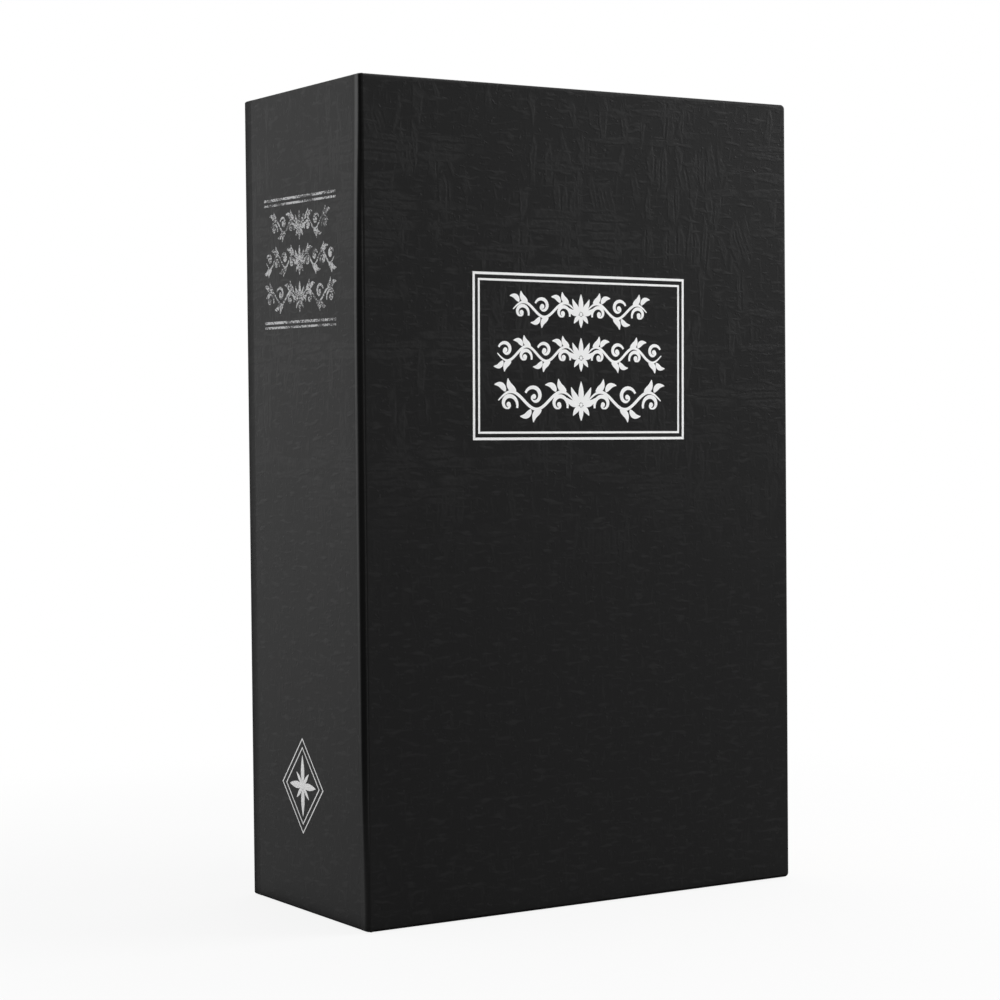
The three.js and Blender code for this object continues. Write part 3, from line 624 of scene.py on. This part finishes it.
def moved(strokes, dx, dz):
    return [[(x + dx, z + dz, half) for x, z, half in s] for s in strokes]


WAVE_STEPS = 60


def wave(width, height, periods, half):
    """A vine's stem: a wave from x = 0 that tapers to both ends."""
    points = []
    for k in range(WAVE_STEPS + 1):
        t = k / WAVE_STEPS
        fade = min(1.0, 6 * t, 6 * (1 - t))
        swing = height * math.sin(2 * math.pi * periods * t)
        points.append((width * t, swing, half * (0.4 + 0.6 * fade)))
    return [points]


def vine(width, height, bends, weight):
    """Half a row of scrollwork: a stem that waves out from x = 0, with a curl in each bend and
    leaves outside it."""
    span = width / bends
    strokes = wave(width, height * 0.2, bends / 2, 0.3 * weight)
    for k in range(bends):
        side = 1 if k % 2 == 0 else -1
        middle = (k + 0.5) * span
        inside = (middle + 0.1 * span, -side * height * 0.09)
        before = (middle - span * 0.2, side * height * 0.22)
        after = (middle + span * 0.22, side * height * 0.2)
        strokes += curl(*inside, span * 0.36, 90 * side + 110, -side * 1.15, 0.4 * weight)
        strokes += leaf(*before, side * 52, height * 0.36, 1.25 * weight, -side * 0.2)
        strokes += leaf(*after, side * 28, height * 0.34, 1.1 * weight, side * 0.22)
    return strokes


def scrollwork(rows):
    """Rows of mirrored vines with a flower in the middle. A row is its half width, height, place,
    number of bends and weight of line."""
    strokes = []
    for half_width, height, z, bends, weight in rows:
        gap = height * 0.2
        half = moved(vine(half_width - gap, height, bends, weight), gap, 0)
        heart = -height * 0.1
        flower = fan(0, heart, 90, 34, 5, height * 0.5, 1.15 * weight)
        flower += fan(0, heart, -90, 42, 3, height * 0.32, 0.95 * weight) + ball(0, heart, 0.4)
        strokes += moved(mirrored(half) + flower, 0, z)
    return strokes


COVER_MIDDLE = (-1.4, FRONT_FACE, 122.45)
COVER_RULES = ((56.63, 36.58, 0.55), (53.94, 33.79, 0.46))  # widths, heights and strokes
ASKEW = math.radians(0.45)  # the dies stood a little out of square
frame_bm = bmesh.new()
for width, height, stroke in COVER_RULES:
    rule_frame(frame_bm, width, height, stroke)
place = Matrix.Translation(COVER_MIDDLE) @ Matrix.Rotation(ASKEW, 4, "Y")
bmesh.ops.transform(frame_bm, matrix=place, verts=frame_bm.verts)
to_piece("front_frame_foil", frame_bm, white_foil, "front_cover", even=False)

COVER_ROWS = ((17.9, 8.0, 10.4, 3, 1.0), (22.0, 8.0, 0.7, 4, 1.0), (21.8, 9.6, -9.6, 3, 1.15))
cover_rows = stroke_mesh(scrollwork(COVER_ROWS))
on_cover = place @ Matrix.Rotation(math.pi / 2, 4, "X")
bmesh.ops.transform(cover_rows, matrix=on_cover, verts=cover_rows.verts)
to_piece("front_scrollwork_foil", cover_rows, white_foil, "front_cover", even=False)

# Silver foil on the spine
# The same scrollwork, smaller, between two pairs of rules, in a silver foil that has rubbed
# off in patches down to the paper. A small white ornament stands near the tail.
silver_foil = Finish("silver_foil", {"Specular IOR Level": 0.3})
x, y, z = silver_foil.place()
patches = silver_foil.noise(x / 4, y / 4, z / 3, 1.0) * 0.5
worn = (silver_foil.noise(x / 0.6, y / 0.6, z / 0.35, 2.0, 0.6) + patches).rise(0.68, 0.82)
silver_foil.colour(worn, (0.56, 0.56, 0.57), (0.03, 0.03, 0.031))
silver_foil.feed(silver_foil.shader, {"Roughness": 0.45 + worn * 0.1})

SPINE_ROWS = ((13.4, 6.9, 152.2, 3, 0.8), (16.0, 6.9, 144.4, 4, 0.8), (16.2, 7.2, 136.4, 3, 0.85))
# The rules' heights and half widths
SPINE_RULES = ((158.27, 0.29), (157.12, 0.25), (130.83, 0.29), (129.72, 0.25))
RULE_REACH = 16.9  # to each side
RULE_STEPS = 20
SPINE_MIDDLE = 0.9  # where the middle of the dies stands in Y
DIE_MIDDLE = (0, 144, 0)  # the point about which the die stood askew
spine_strokes = scrollwork(SPINE_ROWS)
for z, half in SPINE_RULES:
    steps = [2 * k / RULE_STEPS - 1 for k in range(RULE_STEPS + 1)]
    spine_strokes.append([(RULE_REACH * step, z, half) for step in steps])
on_spine = (
    Matrix.Translation((SPINE_FACE, SPINE_MIDDLE, 0))
    @ Matrix.Rotation(-math.pi / 2, 4, "Z")
    @ Matrix.Rotation(math.pi / 2, 4, "X")
)
spine_bm = stroke_mesh(spine_strokes)
tilt = Matrix.Rotation(-ASKEW, 3, "Z")
bmesh.ops.rotate(spine_bm, cent=DIE_MIDDLE, matrix=tilt, verts=spine_bm.verts)
bmesh.ops.transform(spine_bm, matrix=on_spine, verts=spine_bm.verts)
to_piece("spine_scrollwork_foil", spine_bm, silver_foil, "case", even=False)

LOZENGES = ((19.0, 21.0), (15.4, 17.0))  # widths and heights
LOZENGE_RULE = 0.22  # half width
ROSETTE_AT = (-1.4, 27.9)
rosette = []
for width, height in LOZENGES:
    corners = [(width / 2, 0), (0, height / 2), (-width / 2, 0), (0, -height / 2)]
    rosette.append([(x, z, LOZENGE_RULE) for x, z in corners + corners[:1]])
for k in range(4):
    rosette += fan(0, 0, 90 * k, 0, 1, 6.4 if k % 2 else 5.6, 1.5)
    rosette += fan(0, 0, 45 + 90 * k, 0, 1, 3.6, 0.9)
rosette += ball(0, 0, 0.75)
rosette_bm = stroke_mesh(moved(rosette, *ROSETTE_AT))
bmesh.ops.transform(rosette_bm, matrix=on_spine, verts=rosette_bm.verts)
to_piece("spine_ornament_foil", rosette_bm, white_foil, "case", even=False)

# Page edges
# Three strips of cream card, embossed like the cut edges of the leaves, are glued round the
# tray at the head, the tail and the fore-edge, and are mitred where they meet.
CARD = 3.0
LEAVES = 100
LEAF_SIDES = (0.0, 0.22, 0.78)  # where a leaf dips, begins and ends, as shares of its thickness
LEAF_DIP = 0.3
LEAF_TRIM = 0.14  # how unevenly the leaves are trimmed
LEAF_WAVER = 0.04
LEAF_STEPS = 16
LEAF_FRONT, LEAF_REAR = -23.95, 24.2
MITRE_GAP = 0.15
PAGE_HEAD, PAGE_TAIL, PAGE_FORE, PAGE_SPINE = 179.0, 3.0, 54.0, -53.7
PAGE_WIDTH, PAGE_HEIGHT = PAGE_FORE - PAGE_SPINE, PAGE_HEAD - PAGE_TAIL
pages = Finish("page_edges", {"Roughness": 0.85, "Specular IOR Level": 0.2})
x, y, z = pages.place()
leaves = pages.noise((x + z) / 160, y / 0.24, (x - z) / 190, 3.0, 0.7)
handled = pages.noise(x / 18, y / 30, z / 18, 2.0)
cream = (leaves * 0.8 + handled * 0.25).rise(0.25, 0.85)
pages.colour(cream, (0.62, 0.54, 0.4), (0.82, 0.75, 0.6))
pages.emboss(pages.noise(x / 0.3, y / 0.12, z / 0.3, 2.0), 0.00003)


def page_strip(name, start, run, out, length, mitres):
    """A strip that starts at a point, runs along one axis and faces out along another. A mitre is
    0 or 1 for its start or end, and the way that the cut faces."""
    rows = LEAVES * 3
    lot = random.Random(4)
    trims = [lot.uniform(0.0, LEAF_TRIM) for _ in range(LEAVES + 1)]
    bm = bmesh.new()
    bmesh.ops.create_grid(bm, x_segments=LEAF_STEPS, y_segments=rows, size=0.5)
    for v in bm.verts:
        row = round((v.co.y + 0.5) * rows)
        leaf_number = row // 3
        s = (v.co.x + 0.5) * length
        across = (leaf_number + LEAF_SIDES[row % 3]) / LEAVES
        waver = LEAF_WAVER * math.sin(s / 9 + leaf_number * 1.7)
        depth = trims[leaf_number] + waver + LEAF_WAVER if row % 3 else LEAF_DIP
        behind = Vector((0, LEAF_FRONT + (LEAF_REAR - LEAF_FRONT) * across, 0))
        v.co = start + run * s - out * depth + behind
    back = bmesh.ops.extrude_face_region(bm, geom=bm.faces)["geom"]
    for v in back:
        if isinstance(v, bmesh.types.BMVert):
            v.co -= out * (v.co - start).dot(out) + out * CARD
    for end, away in mitres:
        corner = start + run * (length - MITRE_GAP if end else MITRE_GAP)
        bmesh.ops.bisect_plane(
            bm, geom=[*bm.verts, *bm.edges, *bm.faces], dist=1e-5, plane_co=corner,
            plane_no=away - out, clear_outer=True,
        )
        bmesh.ops.holes_fill(bm, edges=bm.edges)
    to_piece(name, bm, pages, "case", [name.replace("_leaves", "")], even=False)


ALONG, UP = Vector((1, 0, 0)), Vector((0, 0, 1))
head_start = Vector((PAGE_SPINE, 0, PAGE_HEAD))
tail_start = Vector((PAGE_SPINE, 0, PAGE_TAIL))
fore_start = Vector((PAGE_FORE, 0, PAGE_TAIL))
page_strip("page_edge_head_leaves", head_start, ALONG, UP, PAGE_WIDTH, [(1, ALONG)])
page_strip("page_edge_tail_leaves", tail_start, ALONG, -UP, PAGE_WIDTH, [(1, ALONG)])
page_strip("page_edge_fore_leaves", fore_start, UP, ALONG, PAGE_HEIGHT, [(0, -UP), (1, UP)])

# Tray, door and hinge leaves
# Folded and pressed 0.8 mm steel with a black powder coat, which has set with a fine orange
# peel. The hinge's leaves were coated with the parts that they are welded to.
SEAM = 0.000001  # vertices this close, in metres, are one
SHALLOW = 0.6  # faces that meet at less than this, in radians, are parts of one curve
powder = Finish("black_steel", {"Specular IOR Level": 0.5})
x, y, z = powder.place()
peel = powder.noise(x / 0.45, y / 0.45, z / 0.45, 2.0)
speck = powder.noise(x / 0.12, y / 0.12, z / 0.12, 2.0)
powder.colour(speck, (0.014, 0.014, 0.015), (0.028, 0.028, 0.029))
powder.feed(powder.shader, {"Roughness": 0.42 + speck * 0.16})
powder.emboss(peel * 0.7 + speck * 0.3, 0.00006)
COATED = ("tray", "door", "hinge_frame_leaf", "hinge_door_leaf")
dress(powder, "black_steel", *COATED)

rounding = bpy.data.node_groups.new("rounding", "GeometryNodeTree")
for way in ("INPUT", "OUTPUT"):
    rounding.interface.new_socket("Mesh", in_out=way, socket_type="NodeSocketGeometry")
curved = Nodes(rounding)
given = curved.node("NodeGroupInput", {}, {})
joined = curved.node("GeometryNodeMergeByDistance", {}, {"Geometry": given, "Distance": SEAM})
bend = curved.node("GeometryNodeInputMeshEdgeAngle", {}, {})
gentle = curved.node("FunctionNodeCompare", {"operation": "LESS_THAN"}, {0: bend, 1: SHALLOW})
parted = curved.node(
    "GeometryNodeSetShadeSmooth", {"domain": "EDGE"}, {"Geometry": joined, "Shade Smooth": gentle}
)
shaded = curved.node(
    "GeometryNodeSetShadeSmooth", {"domain": "FACE"}, {"Geometry": parted, "Shade Smooth": True}
)
curved.node("NodeGroupOutput", {}, {0: shaded})


def turn_smooth(*names):
    """Shades the round faces of CAD nodes as curved."""
    for name in names:
        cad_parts[name].modifiers.new("rounding", "NODES").node_group = rounding


turn_smooth(*COATED)

# Foam tape
# White double-sided foam tape, cut from a roll, holds the tray in the bound case: one length
# behind it and one on the spine's side.
foam = Finish("foam_tape", {"Roughness": 0.9, "Specular IOR Level": 0.2})
x, y, z = foam.place()
cells = foam.noise(x / 0.25, y / 0.25, z / 0.25, 3.0, 0.7)
foam.colour(cells, (0.58, 0.58, 0.54), (0.78, 0.78, 0.74))
foam.emboss(cells, 0.00006)
dress(foam, "foam_tape", "adhesive_back", "adhesive_spine")

# Keeper, hinge pin and the lock's flat parts
# Stamped and turned steel, zinc plated after it was made, so it shows its rolling marks. The
# keeper is welded into the tray, and the cam's screw holds the stop disc and cam on the plug.
zinc = Finish("plated_steel", {"Metallic": 1.0})
x, y, z = zinc.place()
rolled = zinc.noise(x / 0.2, y / 0.2, z / 4, 3.0, 0.6)
bloom = zinc.noise(x / 3, y / 3, z / 3, 2.0)
zinc.colour(bloom, (0.42, 0.43, 0.45), (0.56, 0.55, 0.52))
zinc.feed(zinc.shader, {"Roughness": 0.26 + rolled * 0.16 + bloom * 0.08})
zinc.emboss(rolled, 0.00001)
PLATED = ("keeper", "hinge_pin", "stop_disc", "cam", "cam_screw", "lock_washer")
dress(zinc, "plated_steel", *PLATED)
turn_smooth(*PLATED)

# Lock housing, nut and plug
# Turned zinc castings with a bright nickel plate, worn a little dull by handling. The nut
# clamps the housing to the door, and the plug turns in the housing.
nickel = Finish("lock_nickel", {"Metallic": 1.0})
x, y, z = nickel.place()
haze = nickel.noise(x / 1.2, y / 1.2, z / 1.2, 3.0, 0.6)
nickel.colour(haze, (0.56, 0.55, 0.52), (0.66, 0.65, 0.62))
nickel.feed(nickel.shader, {"Roughness": 0.14 + haze * 0.14})
nickel.emboss(haze, 0.000006)
NICKELLED = ("lock_housing", "lock_nut", "lock_plug")
dress(nickel, "lock_nickel", *NICKELLED)
turn_smooth(*NICKELLED)

# Wafers
# Four plates stamped from sheet brass, one in each slot of the plug. Each has its window at a
# height of its own, and slides up and down as the key goes in.
brass = Finish("wafer_brass", {"Metallic": 1.0})
x, y, z = brass.place()
stamped = brass.noise(x / 0.3, y / 0.3, z / 2.5, 3.0, 0.6)
brass.colour(stamped, (0.48, 0.35, 0.12), (0.62, 0.48, 0.2))
brass.feed(brass.shader, {"Roughness": 0.24 + stamped * 0.18})
brass.emboss(stamped, 0.00001)
dress(brass, "wafer_brass", "wafer_1", "wafer_2", "wafer_3", "wafer_4")

# Studio
# A plain pale floor under a white surround, and three softboxes. The floor is seen white, and
# keeps a faint shadow. In reflections it is painted dimmer near the book and dark round the
# book's foot, as a painted shadow.
SHADED = 0.13  # share of the floor's look that takes shadows, close to the book
SHADOW_FADES = (90.0, 260.0)  # distances from the book's middle between which that share fades
AMBIENT = 0.42
FLOOR_REACH = 30  # in metres
FLOOR_GAP = 0.0002  # the floor lies this far under the book's foot, in metres
# Painted shadow in the floor's reflection: dark within CONTACT of the foot, and dimmed to DIMMEST
# out to the shadow's fade.
CONTACT = 3.5  # how far out from the foot the floor's reflection darkens
DIMMEST = 0.85  # brightness of the floor's reflection just beyond that


def ray(nodes, kind):
    return nodes.node("ShaderNodeLightPath", {}, {}, f"Is {kind} Ray")


def seen_by_eye(nodes):
    """1 for rays that show the background: to the camera, through glass or in a mirror."""
    return ray(nodes, "Camera").most(ray(nodes, "Transmission")).most(ray(nodes, "Glossy"))


floor_bm = bmesh.new()
under = Matrix.Translation((0, 0, -FLOOR_GAP))
bmesh.ops.create_grid(floor_bm, x_segments=1, y_segments=1, size=FLOOR_REACH, matrix=under)
floor_mesh = bpy.data.meshes.new("floor")
floor_bm.to_mesh(floor_mesh)
floor_bm.free()
floor = bpy.data.objects.new("floor", floor_mesh)
bpy.context.scene.collection.objects.link(floor)
PALE = {"Base Color": (0.66, 0.66, 0.66, 1), "Roughness": 1.0, "Specular IOR Level": 0.0}
matt = Finish("floor", PALE)
x, y, z = matt.place()
far = (x * x + y * y).rise(*(distance ** 2 for distance in SHADOW_FADES))
beside = (x.most(x * -1) - FORE_EDGE).most(0)
before = (y.most(y * -1) - BACK_FACE).most(0)
# The floor's glow in mirror rays carries a painted shadow, dark round the foot and dimmer near the
# book.
clear = (beside * beside + before * before).rise(0, CONTACT ** 2)
bright = 1 - ray(matt, "Glossy") * (1 - clear * (far * (1 - DIMMEST) + DIMMEST))
white = seen_by_eye(matt) * (1 - SHADED * (1 - far))
glow = matt.node("ShaderNodeEmission", {}, {"Color": grey_of(matt, bright), "Strength": 1.0})
lit = Value(matt, matt.shader.outputs[0])
paint = matt.node("ShaderNodeMixShader", {}, {0: white, 1: lit, 2: glow})
matt.feed(matt.tree.nodes["Material Output"], {"Surface": paint})
floor_mesh.materials.append(matt.material)

world = bpy.data.worlds.new("surround")
bpy.context.scene.world = world
world.use_nodes = True
surround = Nodes(world.node_tree)
level = seen_by_eye(surround) * (1 - AMBIENT) + AMBIENT
surround.feed(world.node_tree.nodes["Background"], {"Color": (1, 1, 1, 1), "Strength": level})


def softbox(name, towards, distance, width, height, watts, aim=(0, 0, 0.09)):
    """A rectangular lamp that stands off in a direction from the point at which it is aimed."""
    lamp = bpy.data.lights.new(name, "AREA")
    lamp.shape = "RECTANGLE"
    lamp.size, lamp.size_y = width, height
    lamp.energy = watts
    made = bpy.data.objects.new(name, lamp)
    bpy.context.scene.collection.objects.link(made)
    made.location = Vector(aim) + Vector(towards).normalized() * distance
    made.rotation_euler = (Vector(aim) - made.location).to_track_quat("-Z", "Y").to_euler()
    made.visible_camera = False


softbox("back_left_softbox", (-0.62, 0.72, -0.02), 1.3, 0.7, 1.1, 5.5)
softbox("right_softbox", (1.0, -0.5, 0.45), 0.6, 0.35, 0.35, 3.3, (0.03, 0, 0.16))
softbox("overhead_softbox", (0.1, 0.1, 1), 1.3, 1.0, 1.0, 10)

# Camera
# It stands 0.58 m off, a little above the middle of the book, and looks past its near edge. Its
# place and angles are those that put the book's six outer corners where they are seen.
CAMERA_AT = (-0.31073, -0.48457, 0.10843)
AZIMUTH, ELEVATION, ROLL = (math.radians(a) for a in (32.168, -1.822, -0.529))
FOCAL_LENGTH = 89.06
lens = bpy.data.cameras.new("camera")
lens.sensor_width = 36
lens.lens = FOCAL_LENGTH
lens.clip_start = 0.01
camera = bpy.data.objects.new("camera", lens)
bpy.context.scene.collection.objects.link(camera)
bpy.context.scene.camera = camera
ahead = Vector((
    math.sin(AZIMUTH) * math.cos(ELEVATION),
    math.cos(AZIMUTH) * math.cos(ELEVATION),
    math.sin(ELEVATION),
))
level_turn = ahead.to_track_quat("-Z", "Y").to_matrix()
camera.location = CAMERA_AT
camera.rotation_euler = (level_turn @ Matrix.Rotation(ROLL, 3, "Z")).to_euler()

bpy.context.scene.view_settings.view_transform = "Standard"
